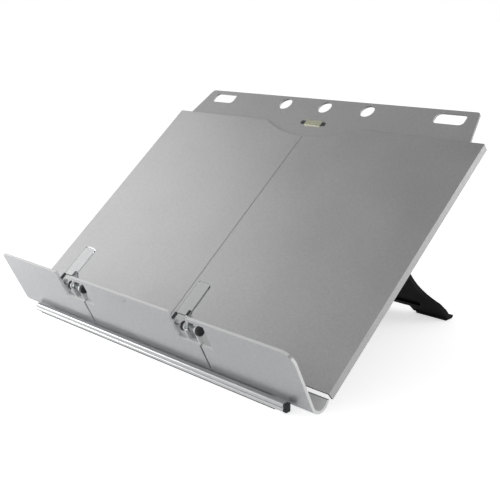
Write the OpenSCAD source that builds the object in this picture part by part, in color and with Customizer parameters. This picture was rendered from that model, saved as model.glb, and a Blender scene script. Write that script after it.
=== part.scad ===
// Folding desk stand for a laptop, a book or loose papers.
// The panel leans back on a hinged rear leg. A folding ledge along its lower
// edge carries the load, and two sprung fingers on the ledge hold pages open.
// X runs across the stand, Y from front to back, Z up. The origin is the
// middle of the rubber sole under the front rail, on the table.

/* [Panel] */
// Width of the panel over its side flanges
panel_w = 340; // [310:1:400]
// Length of the panel along its slope
panel_h = 229; // [215:1:290]
// Angle between the panel and the table
panel_tilt = 39; // [34:1:46]
// Thickness of the panel's sheet
panel_t = 1.5; // [1.2:0.1:2.2]
// Depth of the side flanges behind the front face
flange_depth = 6.6; // [6:0.1:9]
// Thickness of the side flanges
flange_t = 1.5; // [1:0.1:2.5]
// Width of the groove down the middle of the panel
groove_w = 1.4; // [0.8:0.1:3]
// Depth of the middle groove
groove_depth = 0.6; // [0.3:0.1:0.9]
// Distance from the panel's lower edge to the start of the groove
groove_start = 12; // [5:1:40]
// Radius of the shallow arc cut into the panel's top edge
arc_r = 100; // [70:1:140]
// Depth of that arc below the top edge
arc_depth = 14.5; // [8:0.5:20]

/* [Top strip] */
// Height of the strip above the panel's top edge
strip_rise = 33; // [28:1:45]
// Distance from the panel's side to the strip's top corner
strip_top_inset = 20; // [17:1:27]
// Distance from the panel's side to the strip where it leaves the panel
strip_foot_inset = 13; // [10:1:17]
// Length of the strip that runs down behind the panel
strip_lap = 26; // [22:1:34]
// Thickness of the strip
strip_t = 2; // [1.5:0.1:2.6]
// Radius of the strip's top corners
strip_corner_r = 3; // [2:0.5:10]
// Diameter of the three round holes
peg_hole_d = 13.4; // [6:0.1:14]
// Spacing of the three round holes
peg_hole_pitch = 46.7; // [40:0.1:60]
// Distance from the strip's top edge to the middle of its holes
hole_drop = 9.5; // [9:0.5:14]
// Length of the two hand slots
slot_w = 28; // [20:1:40]
// Height of the two hand slots
slot_h = 12; // [8:0.5:14]
// Corner radius of the two hand slots
slot_r = 4; // [2:0.5:4]
// Distance from the strip's end to the middle of a hand slot
slot_inset = 22.5; // [18:0.5:40]

/* [Badge] */
// Length of the blank badge
badge_w = 27; // [15:1:40]
// Height of the blank badge
badge_h = 7; // [4:0.5:9]
// Thickness of the blank badge
badge_t = 0.8; // [0.4:0.1:1.4]
// Distance from the strip's top edge to the middle of the badge
badge_drop = 30; // [26:0.5:34]

/* [Back shell] */
// Thickness of the shell's skin
skin_t = 2; // [1.6:0.1:2.4]
// Distance from the panel's lower edge to the shell
shell_start = 3; // [2:0.5:5]
// Distance from the shell to the panel's top edge
shell_end_gap = 2; // [1:0.5:5]
// Thickness of the shell's inner ribs
rib_t = 1.6; // [1:0.1:3]
// Depth of the field that the folded leg lies over
field_depth = 0.5; // [0.3:0.1:0.8]
// Gap between pieces that are assembled face to face
fit_gap = 0.6; // [0.3:0.1:1]

/* [Front rail] */
// Distance from the ledge's end to the end of the rail's metal
rail_inset = 23; // [15:0.5:28]
// Shift of the rail to the right
rail_shift = 2; // [0:0.5:4]
// Depth of the front rail from front to back
rail_d = 4.7; // [4:0.1:7]
// Height of the front rail
rail_h = 6.1; // [5:0.1:7]
// Radius of the small roundings on the rail's front
rail_round = 0.8; // [0.4:0.1:1]
// Thickness of the rubber sole
sole_t = 0.7; // [0.6:0.1:2]
// Depth of the rubber sole from front to back
sole_d = 3.4; // [2.5:0.1:3.9]
// Length of each end cap
cap_w = 2.5; // [2:0.5:8]

/* [Base plate] */
// Thickness of the steel base plate
plate_t = 1.2; // [1:0.1:1.6]
// Distance from the end of the rail's metal to the base plate
plate_inset = 15; // [10:0.5:20]
// Length of the plate's flange along the panel
plate_flange = 12; // [11:0.5:12.5]

/* [Ledge] */
// Distance from the panel's side to the ledge's end
ledge_inset = 2; // [0:0.5:8]
// Outer radius of the ledge's round trough
trough_r = 9; // [8.5:0.1:11]
// Thickness of the ledge's wall
ledge_t = 2.2; // [1.6:0.1:2.4]
// Forward lean of the lip from upright
lip_lean = 26; // [22:1:32]
// Height of the lip above the trough, along the lip
lip_h = 48.5; // [46:0.5:60]
// Radius of the lip's right top corner
lip_corner_r = 9.5; // [4:0.5:14]
// Radius of the lip's left top corner
lip_left_r = 3; // [1:0.5:14]
// Angle below level at which the trough's rear wall ends
rear_end_angle = 12; // [8:1:16]
// Distance from the panel's lower edge to the ledge's rod
rod_drop = 6.8; // [6:0.1:7.5]
// Distance of the rod in front of the middle of the panel's sheet
rod_lift = 1.9; // [1:0.1:2.4]
// Diameter of the rod that the ledge turns on
rod_d = 3; // [2.5:0.1:3.4]
// Radius of the knuckles round the rod
knuckle_r = 3.2; // [2.8:0.1:3.4]
// Width of each fixed knuckle
lug_w = 6; // [5:0.5:8]
// Width of each knuckle on the ledge
knuckle_w = 4; // [3:0.5:5]
// Distance from the middle of the stand to its inner knuckles
inner_hinge_x = 30; // [20:1:36]
// Distance from the base plate's end to the outer knuckles
outer_hinge_inset = 11; // [9:0.5:18]
// Width of the small window in the middle of the lip
window_w = 5; // [3:0.5:10]
// Height of that window
window_h = 4; // [2:0.5:6]
// Distance from the lip's top edge down to the window
window_drop = 3; // [2:0.5:8]

/* [Page clips] */
// Distance from the middle of the stand to each clip
clip_x = 68.7; // [62:0.1:76]
// Shift of both clips to the right
clip_shift = 4; // [0:0.5:5]
// Height of the clip's pin along the lip
clip_rise = 33.5; // [31:0.5:38]
// Distance from the lip's outer face in to the clip's pin
clip_inset = 4.75; // [4.4:0.05:6]
// Height along the lip at which the clip's notch starts
notch_start = 24; // [20:0.5:26]
// Reach of the notch to the left of the clip
notch_left = 22; // [19:0.1:23.5]
// Reach of the notch to the right of the clip
notch_right = 14.5; // [11.5:0.5:20]
// Thickness of the arm of the lip that runs over the knob
guard_h = 3; // [2:0.1:5]
// Width of the slit below the notch
slit_w = 2; // [1:0.1:3]
// Diameter of the clip's pin
clip_pin_d = 2.4; // [2:0.1:3]
// Distance from the clip's middle to the ear at the pin's far end
far_ear = 24.2; // [24:0.1:27]
// Radius of the ears that hold the pin
ear_r = 2.9; // [2.6:0.1:3.2]
// Thickness of each ear
ear_t = 1.8; // [1.4:0.1:2.2]
// Diameter of the black knob
knob_d = 7.6; // [6:0.1:8]
// Length of the black knob
knob_w = 3.4; // [3:0.1:5]
// Width of the finger's blade
blade_w = 12.6; // [9:0.1:13.4]
// Thickness of the finger's blade
blade_t = 1.5; // [1:0.1:2]
// Length of the finger from its pin to its tip
blade_len = 33; // [26:0.5:38]
// Height of the blade above its pin, square to the panel
blade_lift = 7.4; // [6.5:0.1:9]
// Diameter of the spring's wire
spring_wire = 0.5; // [0.4:0.1:0.6]
// Number of turns in the spring
spring_turns = 4; // [3:1:5]

/* [Rear leg] */
// Angle of the leg below level when it stands open
leg_angle = 47.8; // [44:0.1:54]
// Distance from the panel's lower edge up to the leg's pins
leg_pin_u = 150; // [140:1:170]
// Distance of the leg's pins behind the back shell
leg_pin_drop = 5.4; // [5.3:0.1:9]
// Width of the leg below its pins
leg_w = 225; // [215:1:232]
// Width of the leg across its feet
foot_span = 258; // [252:1:276]
// Width of each foot
foot_w = 32; // [25:1:45]
// Thickness of the leg's plate
leg_t = 4; // [3:0.1:4.6]
// Height of the arch between the feet
arch_h = 7.5; // [6:0.5:20]
// Radius of the flare above each foot
flare_r = 45; // [35:1:60]
// Thickness of the rubber under each foot
pad_t = 1.2; // [1:0.1:2]
// Length of each foot from front to back
foot_d = 10; // [9:0.5:14]
// Thickness of the leg's web between its ribs
leg_web = 2.2; // [1.4:0.1:2.8]
// Width of the rim round the leg's pockets
leg_rim = 5; // [3:0.5:10]
// Width of the ribs between the leg's pockets
leg_rib = 3; // [2:0.5:6]
// Columns of pockets in the leg
pocket_cols = 3; // [2:1:5]
// Rows of pockets in the leg
pocket_rows = 2; // [1:1:3]
// Distance from the middle of the stand to each leg hinge
leg_hinge_x = 92; // [70:1:94]
// Diameter of the leg's pins
leg_pin_d = 5; // [4:0.1:6]
// Radius of the leg's barrels
barrel_r = 5; // [4.6:0.1:5.2]
// Width of each leg barrel
barrel_w = 17.6; // [12:0.1:20]
// Thickness of the washers beside each barrel
washer_t = 0.6; // [0.4:0.1:1]
// Thickness of the bracket's ears and foot
bracket_t = 2.4; // [2:0.1:3]

/* [Fits] */
// Radial clearance of a pin that turns in its bore
running = 0.05; // [0.02:0.01:0.08]
// Side clearance between pieces that turn beside each other
side_gap = 0.3; // [0.2:0.05:0.5]
// Gap at the stops of the ledge, the leg and the fingers
stop_gap = 0.15; // [0.1:0.05:0.25]
// Clearance between the trough and what lies under or before it
trough_gap = 0.5; // [0.4:0.1:1]
// Diameter of the shank of every screw
screw_d = 2.5; // [2:0.1:3]

/* [Hidden] */
$fn = 64;
tiny = 0.01;
big = 1000;

silver = "#bdbdbe";
strip_grey = "#8f9091";
graphite = "#3b3d40";
black = "#1d1e20";
steel = "#c3c6c9";

// Widths that follow the panel's
ledge_w = panel_w - 2 * ledge_inset;
rail_w = ledge_w - 2 * rail_inset;
plate_w = rail_w - 2 * plate_inset;
outer_hinge_x = plate_w / 2 - outer_hinge_inset;
strip_top_w = panel_w - 2 * strip_top_inset;
strip_foot_w = panel_w - 2 * strip_foot_inset;
slot_x = strip_top_w / 2 - slot_inset;

// Heights, from the table up
plate_top = sole_t + plate_t;
rail_top = sole_t + rail_h;
rod_z = plate_top + trough_gap + trough_r;
rod_y = rail_d / 2 + trough_gap + sqrt(pow(trough_r, 2) - pow(rod_z - rail_top, 2));

// The panel's lower front edge: the rod lies below it, a little in front of the sheet
rod_out = rod_lift - panel_t / 2;
panel_y = rod_y + rod_drop * cos(panel_tilt) + rod_out * sin(panel_tilt);
panel_z = rod_z + rod_drop * sin(panel_tilt) - rod_out * cos(panel_tilt);
function panel_point(u, d) = [panel_y + u * cos(panel_tilt) - d * sin(panel_tilt),
    panel_z + u * sin(panel_tilt) + d * cos(panel_tilt)];
function slope_at(y, d) = (y - panel_y + d * sin(panel_tilt)) / cos(panel_tilt);

// Back shell
shell_w = panel_w - 2 * (flange_t + fit_gap);
shell_end = panel_h - shell_end_gap;
skin_front = -(flange_depth - skin_t);
rib_side_x = shell_w / 2 - rib_t / 2;
rib_x = [-rib_side_x, -110, -55, 55, 110, rib_side_x];
rib_u = [shell_start + rib_t / 2, 60, 105, leg_pin_u + 10, shell_end - rib_t / 2];
boss_x = [75, shell_w / 2 - 26];
boss_low = 34;
boss_high = panel_h - strip_lap / 2;
boss_r = 3;
head_r = 2.6;
head_h = 1.4;

// Strip
strip_top = panel_h + strip_rise;
strip_front = -panel_t;
strip_slope = atan((strip_foot_w - strip_top_w) / 2 / strip_rise);

// Base plate: level under the trough, upright behind it, then along the shell's back
plate_front = -rail_d / 2 + 1.4;
heel_r = trough_r + 0.6;
plate_rise_y = rod_y + heel_r * cos(rear_end_angle) + 2.2;
plate_start_u = slope_at(plate_rise_y, -flange_depth);
plate_end_u = plate_start_u + plate_flange;
plate_screw_x = [25, 80];
plate_screw_u = plate_end_u - 5.5;
rail_screw_x = [for (i = [-2:2]) i * (plate_w / 4 - 5)];

// Ledge
trough_in_r = trough_r - ledge_t;
lip_foot = [rod_y - trough_r * cos(lip_lean), rod_z - trough_r * sin(lip_lean)];
hinge_xs = [-outer_hinge_x, -inner_hinge_x, inner_hinge_x, outer_hinge_x];
knuckle_shift = lug_w / 2 + side_gap;
rod_end = outer_hinge_x + knuckle_shift + knuckle_w;
ring_t = 1.2;
stop_turn = stop_gap / trough_r * 180 / PI;

// Clips, in the lip's own frame: across, up the lip, and out of its outer face
clip_xs = [clip_shift - clip_x, clip_shift + clip_x];
pin_out = -clip_inset;
clip_y = lip_foot[0] - clip_rise * sin(lip_lean) + clip_inset * cos(lip_lean);
clip_z = lip_foot[1] + clip_rise * cos(lip_lean) + clip_inset * sin(lip_lean);
clip_pin_r = clip_pin_d / 2;
knob_left = -0.5;
ear_right = knob_left - side_gap;
hub_r = 2.7;
hub_w = 3.2;
blade_left = -notch_left + 1.1;
blade_right = blade_left + blade_w;
hub_right = blade_right - 0.2;
ear_left = hub_right - hub_w - side_gap;
collar_right = ear_left - ear_t - side_gap;
collar_t = 1.6;
collar_r = knob_d / 2 - 0.1;
spring_left = hub_right + side_gap / 2;
spring_right = ear_right - ear_t - side_gap / 2;
spring_r = clip_pin_r + 0.35 + spring_wire / 2;
block_low = notch_start - 11;
block_t = 2.4;
clip_cap_t = 1.6;
clip_cap_r = clip_inset - ledge_t - side_gap;
clip_cap_right = -far_ear - ear_t - side_gap;
clip_ears = [-far_ear - ear_t, ear_left - ear_t, ear_right - ear_t];
heel_t = 1.4;
heel_low = notch_start - 3;
slit_x = 1.6;
guard_left = knob_left - 0.5;
slit_start = 1.5;

// Leg, in its own frame: across, down the leg, and out of its upper face
leg_pin_depth = flange_depth + leg_pin_drop;
leg_pin = panel_point(leg_pin_u, -leg_pin_depth);
foot_height = 4.6;
foot_inset = 0.4;
toe = 3;
arch_slant = 4;
pocket_top = 22;
leg_len = leg_pin[1] / sin(leg_angle);
leg_top = barrel_r + 3;
foot_y = leg_pin[0] + leg_len * cos(leg_angle);
arch_v = leg_len - arch_h / sin(leg_angle);
arch_x = foot_span / 2 - foot_w;
flare_v = leg_len - 53;
ear_in = barrel_w / 2 + washer_t + side_gap;
bracket_w = 2 * (ear_in + bracket_t);
bracket_ear_r = leg_pin_drop;
bracket_screw_u = 13;
bracket_end_u = bracket_screw_u + 5;
leg_limb = 17;

// ---------- frames and small helpers ----------

module on_panel() {
    translate([0, panel_y, panel_z]) rotate([panel_tilt, 0, 0]) children();
}

module on_lip() {
    translate([0, lip_foot[0], lip_foot[1]]) rotate([90 + lip_lean, 0, 0]) children();
}

module on_leg() {
    translate([0, leg_pin[0], leg_pin[1]]) rotate([-leg_angle, 0, 0]) children();
}

// The finger's frame: its pin, then along the panel and square to it
module on_finger(x) {
    translate([x, clip_y, clip_z]) rotate([panel_tilt, 0, 0]) children();
}

// Extrudes a flat side profile from x = x0 to x = x1
module along_x(x0, x1) {
    translate([x0, 0, 0]) rotate([90, 0, 90]) linear_extrude(x1 - x0) children();
}

module rod_along_x(r, x0, x1) {
    translate([x0, 0, 0]) rotate([0, 90, 0]) cylinder(r = r, h = x1 - x0);
}

module mirrored() {
    children();
    mirror([1, 0, 0]) children();
}

module rounded_rect(w, h, r) {
    square([w - 2 * r, h], center = true);
    square([w, h - 2 * r], center = true);
    for (x = [-1, 1], y = [-1, 1]) translate([x * (w / 2 - r), y * (h / 2 - r)]) circle(r);
}

function arc(c, r, a0, a1, n = 10) = [for (i = [0:n]) let (a = a0 + (a1 - a0) * i / n)
    [c[0] + r * cos(a), c[1] + r * sin(a)]];

// Pan-head screw: the head stands on z = 0 and the shank runs down
module screw(len) {
    difference() {
        union() {
            translate([0, 0, -len]) cylinder(d = screw_d, h = len + tiny);
            cylinder(r1 = head_r, r2 = head_r - 0.5, h = head_h);
        }
        for (a = [0, 90]) rotate(a) translate([-1.3, -0.3, head_h - 0.8]) cube([2.6, 0.6, 1]);
    }
}

// ---------- panel, strip and badge ----------

module boss_places(rows = [boss_low, boss_high]) {
    for (side = [-1, 1], x = boss_x, u = rows) translate([side * x, u, 0]) children();
}

module front_panel() {
    color(silver) on_panel() difference() {
        union() {
            translate([-panel_w / 2, 0, -panel_t]) cube([panel_w, panel_h, panel_t]);
            mirrored() translate([panel_w / 2 - flange_t, 0, -flange_depth])
                cube([flange_t, panel_h, flange_depth]);
            boss_places() translate([0, 0, skin_front]) cylinder(r = boss_r, h = -skin_front - panel_t / 2);
        }
        translate([0, panel_h - arc_depth + arc_r, -panel_t - 1])
            cylinder(r = arc_r, h = panel_t + 2, $fn = 180);
        translate([0, groove_start, 0]) rotate([-90, 0, 0])
            linear_extrude(panel_h - groove_start)
                polygon([[-groove_w / 2, 0], [0, groove_depth], [groove_w / 2, 0], [0, -1]]);
        boss_places() translate([0, 0, skin_front - 1]) cylinder(d = screw_d, h = 1 - skin_front - panel_t);
    }
}

module strip_outline() {
    corner_y = strip_top - strip_corner_r;
    corner_x = strip_top_w / 2 + strip_corner_r * tan(strip_slope) - strip_corner_r / cos(strip_slope);
    right = concat([[strip_foot_w / 2, panel_h - strip_lap], [strip_foot_w / 2, panel_h]],
        arc([corner_x, corner_y], strip_corner_r, strip_slope, 90));
    polygon(concat(right, [for (i = [len(right) - 1:-1:0]) [-right[i][0], right[i][1]]]));
}

module top_strip() {
    color(strip_grey) on_panel() difference() {
        translate([0, 0, strip_front - strip_t]) linear_extrude(strip_t) strip_outline();
        for (i = [-1:1]) translate([i * peg_hole_pitch, strip_top - hole_drop, strip_front - strip_t - 1])
            cylinder(d = peg_hole_d, h = strip_t + 2);
        mirrored() translate([slot_x, strip_top - hole_drop, strip_front - strip_t - 1])
            linear_extrude(strip_t + 2) rounded_rect(slot_w, slot_h, slot_r);
        boss_places([boss_high]) translate([0, 0, strip_front - strip_t - 1])
            cylinder(r = boss_r + fit_gap / 2, h = strip_t + 2);
    }
}

module badge_plate() {
    color("#c9c6a4") on_panel() translate([0, strip_top - badge_drop, strip_front])
        linear_extrude(badge_t) rounded_rect(badge_w, badge_h, badge_h / 2 - 0.2);
}

// ---------- back shell and its screws ----------

module lug_profile() {
    rod = [-rod_drop, rod_out];
    stop_angle = -rear_end_angle - panel_tilt + stop_turn;
    heel = rod + heel_r * [cos(stop_angle), sin(stop_angle)];
    translate(rod) circle(knuckle_r);
    polygon([rod, heel, [max(heel[0] + 1, shell_start + 1), -flange_depth], [shell_start + 9, -flange_depth],
        [shell_start + 9, -panel_t - tiny], [0.2 - knuckle_r / 2, -panel_t - tiny]]);
}

module back_shell() {
    color(graphite) on_panel() difference() {
        union() {
            translate([-shell_w / 2, shell_start, -flange_depth])
                cube([shell_w, shell_end - shell_start, skin_t]);
            for (x = rib_x) translate([x - rib_t / 2, shell_start, skin_front - tiny])
                cube([rib_t, shell_end - shell_start, -skin_front - panel_t + tiny]);
            for (u = rib_u) translate([-shell_w / 2, u - rib_t / 2, skin_front - tiny])
                cube([shell_w, rib_t, -skin_front - panel_t + tiny]);
            for (x = hinge_xs) along_x(x - lug_w / 2, x + lug_w / 2) lug_profile();
        }
        // the strip, the bosses and the screws
        translate([0, 0, strip_front - strip_t]) linear_extrude(strip_t + 1) strip_outline();
        boss_places() translate([0, 0, skin_front]) cylinder(r = boss_r + fit_gap / 2, h = big);
        boss_places() translate([0, 0, -flange_depth - 1]) cylinder(d = screw_d + 0.2, h = big);
        for (side = [-1, 1], x = plate_screw_x) translate([side * x, plate_screw_u, -flange_depth - 1])
            cylinder(d = screw_d, h = skin_t + 3);
        for (side = [-1, 1], x = [-1, 1]) translate([side * leg_hinge_x + x * bracket_w / 4,
            leg_pin_u + bracket_screw_u, -flange_depth - 1]) cylinder(d = screw_d, h = skin_t + 3);
        // shallow field under the folded leg
        translate([0, (plate_end_u + leg_pin_u) / 2, -flange_depth - 1]) linear_extrude(1 + field_depth)
            rounded_rect(leg_w + 12, leg_pin_u - plate_end_u - 44, 10);
        // rod
        translate([0, -rod_drop, rod_out]) rod_along_x(rod_d / 2, -big / 2, big / 2);
    }
}

module shell_screws() {
    color(steel) on_panel() boss_places() translate([0, 0, -flange_depth]) mirror([0, 0, 1])
        screw(flange_depth - panel_t - 0.6);
}

// ---------- base plate, rail, caps and sole ----------

module base_plate() {
    low_in = panel_point(plate_start_u, -flange_depth);
    high_in = panel_point(plate_end_u, -flange_depth);
    high_out = panel_point(plate_end_u, -flange_depth - plate_t);
    low_out = panel_point(slope_at(plate_rise_y + plate_t, -flange_depth - plate_t), -flange_depth - plate_t);
    color(steel) difference() {
        along_x(-plate_w / 2, plate_w / 2) polygon([[plate_front, sole_t], [plate_rise_y + plate_t, sole_t],
            low_out, high_out, high_in, low_in, [plate_rise_y, plate_top], [plate_front, plate_top]]);
        for (x = rail_screw_x) translate([x, 0, sole_t - 1]) cylinder(d = screw_d, h = plate_t + 2);
        on_panel() for (side = [-1, 1], x = plate_screw_x)
            translate([side * x, plate_screw_u, -flange_depth - plate_t - 1])
                cylinder(d = screw_d + 0.2, h = plate_t + 2);
    }
}

module plate_screws() {
    color(steel) on_panel() for (side = [-1, 1], x = plate_screw_x)
        translate([side * x, plate_screw_u, -flange_depth - plate_t]) mirror([0, 0, 1])
            screw(plate_t + skin_t + 1.2);
}

// Two rounded bands with a fine groove between them, on a square back
module rail_profile() {
    front = -rail_d / 2;
    mid = sole_t + rail_h * 0.48;
    translate([front + rail_round, sole_t]) square([rail_d - rail_round, rail_h]);
    for (band = [[sole_t, mid - 0.25], [mid + 0.25, rail_top]]) {
        translate([front, band[0] + rail_round]) square([rail_round * 2, band[1] - band[0] - 2 * rail_round]);
        for (z = [band[0] + rail_round, band[1] - rail_round])
            translate([front + rail_round, z]) circle(rail_round, $fn = 32);
    }
}

module front_rail() {
    color(silver) difference() {
        along_x(rail_shift - rail_w / 2, rail_shift + rail_w / 2) rail_profile();
        translate([-plate_w / 2 - fit_gap / 2, plate_front, sole_t - 1])
            cube([plate_w + fit_gap, rail_d, plate_t + 1]);
        for (x = rail_screw_x) translate([x, 0, 0]) cylinder(d = screw_d, h = sole_t + rail_h - 1);
    }
}

module rail_screws() {
    color(steel) for (x = rail_screw_x) translate([x, 0, sole_t]) cylinder(d = screw_d, h = rail_h - 1.5);
}

module rail_cap(side) {
    color(side < 0 ? silver : black) mirror([side < 0 ? 1 : 0, 0, 0])
        along_x(rail_w / 2 + side * rail_shift, rail_w / 2 + side * rail_shift + cap_w) rail_profile();
}

module rail_cap_left() { rail_cap(-1); }

module rail_cap_right() { rail_cap(1); }

module rail_sole() {
    color(black) translate([-rail_w / 2 + 6, -sole_d / 2, 0]) cube([rail_w - 12, sole_d, sole_t]);
}

// ---------- ledge ----------

module ledge_rod() {
    color(steel) translate([0, rod_y, rod_z])
        rod_along_x(rod_d / 2, -rod_end - 3 * ring_t, rod_end + 3 * ring_t);
}

module rod_rings() {
    color(black) translate([0, rod_y, rod_z]) mirrored() difference() {
        rod_along_x(knuckle_r - 0.4, rod_end + side_gap, rod_end + side_gap + ring_t);
        rod_along_x(rod_d / 2, 0, big);
    }
}

// Side view of the trough and the lip's full height, drawn with the lip upright
module ledge_profile() {
    rear_end = -rear_end_angle - lip_lean;
    translate([rod_y, rod_z]) rotate(lip_lean) {
        difference() {
            circle(trough_r);
            circle(trough_in_r);
            // open between the rear wall's end and the foot of the lip
            polygon([[0, 0], big * [cos(rear_end), sin(rear_end)], [big, big], [-big, big], [-big, 0]]);
        }
        translate([-trough_r, 0]) square([ledge_t, lip_h]);
    }
}

// What is cut out of the lip: its top corners, the notches, the slits and the window
module lip_cuts() {
    for (corner = [[1, lip_left_r], [0, lip_corner_r]]) mirror([corner[0], 0])
        translate([ledge_w / 2 - corner[1], lip_h - corner[1]]) difference() {
            square(corner[1] + 1);
            circle(corner[1]);
        }
    for (x = clip_xs) translate([x, 0]) {
        translate([-notch_left, notch_start]) square([notch_left + guard_left, lip_h]);
        translate([guard_left - 1, notch_start])
            square([notch_right - guard_left + 1, lip_h - guard_h - notch_start]);
        translate([slit_x - slit_w / 2, slit_start]) square([slit_w, notch_start]);
    }
    translate([0, lip_h - window_drop - window_h / 2]) rounded_rect(window_w, window_h, 1);
}

module knuckle_profile() {
    translate([rod_y, rod_z]) {
        circle(knuckle_r);
        intersection() {
            circle(trough_in_r + 0.2);
            translate([-trough_r, -trough_r]) square([2 * trough_r, trough_r - knuckle_r / 2]);
        }
    }
}

module ledge_tray() {
    color(silver) difference() {
        union() {
            along_x(-ledge_w / 2, ledge_w / 2) ledge_profile();
            for (x = hinge_xs, side = [-1, 1]) {
                near = x + side * knuckle_shift;
                far = near + side * knuckle_w;
                along_x(min(near, far), max(near, far)) knuckle_profile();
            }
        }
        on_lip() translate([0, 0, -ledge_t - 1]) linear_extrude(ledge_t + 2) lip_cuts();
        translate([0, rod_y, rod_z]) rod_along_x(rod_d / 2 + running, -big / 2, big / 2);
        clip_screw_places() translate([0, 0, -ledge_t - 1]) cylinder(d = screw_d, h = ledge_t + 0.4);
    }
}

// ---------- page clips ----------

module clip_screw_places() {
    on_lip() for (x = clip_xs, dx = [-far_ear + 3, ear_right - 3])
        translate([x + dx, block_low + 3, 0]) children();
}

// Height along the lip, and distance out of it; an ear behind the lip ends at its inner face
module ear_profile(behind_lip) {
    difference() {
        union() {
            polygon([[block_low + 6, -ledge_t], [notch_start, -ledge_t],
                [clip_rise - 1, pin_out + ear_r - 0.2], [clip_rise, pin_out - ear_r],
                [block_low + 6, -ledge_t - block_t]]);
            translate([clip_rise, pin_out]) circle(ear_r);
        }
        if (behind_lip) translate([0, -ledge_t]) square([2 * clip_rise, ear_r]);
    }
}

module clip_block(x) {
    color(silver) difference() {
        on_lip() translate([x, 0, 0]) {
            translate([clip_ears[0], block_low, -ledge_t - block_t])
                cube([ear_right - clip_ears[0], notch_start - block_low - 0.5, block_t]);
            for (x0 = clip_ears) along_x(x0, x0 + ear_t) ear_profile(x0 < -notch_left);
        }
        on_lip() translate([x, clip_rise, pin_out]) rod_along_x(clip_pin_r + running, -30, 30);
        clip_screw_places() translate([0, 0, -big / 2]) cylinder(d = screw_d + 0.2, h = big / 2);
    }
}

module clip_block_left() { clip_block(clip_xs[0]); }

module clip_block_right() { clip_block(clip_xs[1]); }

module clip_screws() {
    color(steel) clip_screw_places() translate([0, 0, -ledge_t - block_t]) mirror([0, 0, 1])
        screw(block_t + 0.9);
}

// Torsion spring: one swept wire, its coils round the pin
module clip_spring(x) {
    sides = 6;
    per_turn = 14;
    rings = spring_turns * per_turn;
    pitch = (spring_right - spring_left - spring_wire - side_gap) / spring_turns;
    points = [for (i = [0:rings], j = [0:sides - 1]) let (a = 360 * i / per_turn, b = 360 * j / sides,
        r = spring_r + spring_wire / 2 * cos(b)) [spring_left + spring_wire / 2 + pitch * i / per_turn
        + spring_wire / 2 * sin(b), r * cos(a), r * sin(a)]];
    walls = [for (i = [0:rings - 1], j = [0:sides - 1]) let (k = (j + 1) % sides)
        [i * sides + j, i * sides + k, (i + 1) * sides + k, (i + 1) * sides + j]];
    ends = [[for (j = [sides - 1:-1:0]) j], [for (j = [0:sides - 1]) rings * sides + j]];
    color(steel) translate([x, clip_y, clip_z]) polyhedron(points, concat(walls, ends));
}

module clip_spring_left() { clip_spring(clip_xs[0]); }

module clip_spring_right() { clip_spring(clip_xs[1]); }

// Clear finger: a hub on the pin, a narrow stem, then a wide blade along the panel
module finger_shape() {
    stem_a = 7;
    blade_y = blade_len - stem_a + 3;
    rod_along_x(hub_r, hub_right - hub_w, hub_right);
    along_x(hub_right - hub_w, hub_right) polygon([[hub_r * 0.75, -hub_r * 0.55], [stem_a + 2, blade_lift],
        [stem_a, blade_lift + blade_t], [stem_a - 2, blade_lift + blade_t], [-hub_r * 0.75, hub_r * 0.55]]);
    translate([(blade_left + blade_right) / 2, stem_a - 3 + blade_y / 2, blade_lift])
        linear_extrude(blade_t) rounded_rect(blade_right - blade_left, blade_y, 2);
}

module page_finger(x) {
    color("#dfe3e4", 0.6) difference() {
        union() {
            // heel that rests on the clip block
            on_lip() translate([x + hub_right - hub_w, heel_low, -ledge_t - block_t - stop_gap - heel_t])
                cube([hub_w, clip_rise - heel_low, heel_t]);
            on_finger(x) finger_shape();
        }
        translate([x, clip_y, clip_z]) rod_along_x(clip_pin_r, -30, 30);
    }
}

module page_finger_left() { page_finger(clip_xs[0]); }

module page_finger_right() { page_finger(clip_xs[1]); }

module finger_pin(x) {
    color(steel) translate([x, clip_y, clip_z])
        rod_along_x(clip_pin_r, clip_cap_right - clip_cap_t + 0.4, knob_left + knob_w - 0.8);
}

module finger_pin_left() { finger_pin(clip_xs[0]); }

module finger_pin_right() { finger_pin(clip_xs[1]); }

module finger_knob(x) {
    color(black) translate([x, clip_y, clip_z]) difference() {
        union() {
            rod_along_x(knob_d / 2, knob_left, knob_left + knob_w - 0.6);
            rotate([0, 90, 0]) translate([0, 0, knob_left + knob_w - 0.6])
                cylinder(r1 = knob_d / 2, r2 = knob_d / 2 - 0.6, h = 0.6);
        }
        rod_along_x(clip_pin_r, -30, knob_left + knob_w - 0.8);
    }
}

module finger_knob_left() { finger_knob(clip_xs[0]); }

module finger_knob_right() { finger_knob(clip_xs[1]); }

// Black collar that keeps the pin from sliding
module finger_collar(x) {
    color(black) translate([x, clip_y, clip_z]) difference() {
        rod_along_x(collar_r, collar_right - collar_t, collar_right);
        rod_along_x(clip_pin_r, -30, 30);
    }
}

module finger_collar_left() { finger_collar(clip_xs[0]); }

module finger_collar_right() { finger_collar(clip_xs[1]); }

module finger_cap(x) {
    color(black) translate([x, clip_y, clip_z]) difference() {
        rod_along_x(clip_cap_r, clip_cap_right - clip_cap_t, clip_cap_right);
        rod_along_x(clip_pin_r, clip_cap_right - clip_cap_t + 0.4, 30);
    }
}

module finger_cap_left() { finger_cap(clip_xs[0]); }

module finger_cap_right() { finger_cap(clip_xs[1]); }

// ---------- rear leg ----------

module bracket_ear_profile() {
    translate([leg_pin_u, -leg_pin_depth]) circle(bracket_ear_r);
    polygon([[leg_pin_u - bracket_ear_r, -leg_pin_depth], [leg_pin_u - bracket_ear_r, -flange_depth],
        [leg_pin_u + bracket_end_u, -flange_depth], [leg_pin_u + bracket_end_u, -flange_depth - bracket_t],
        [leg_pin_u + bracket_ear_r, -leg_pin_depth]]);
}

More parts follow.
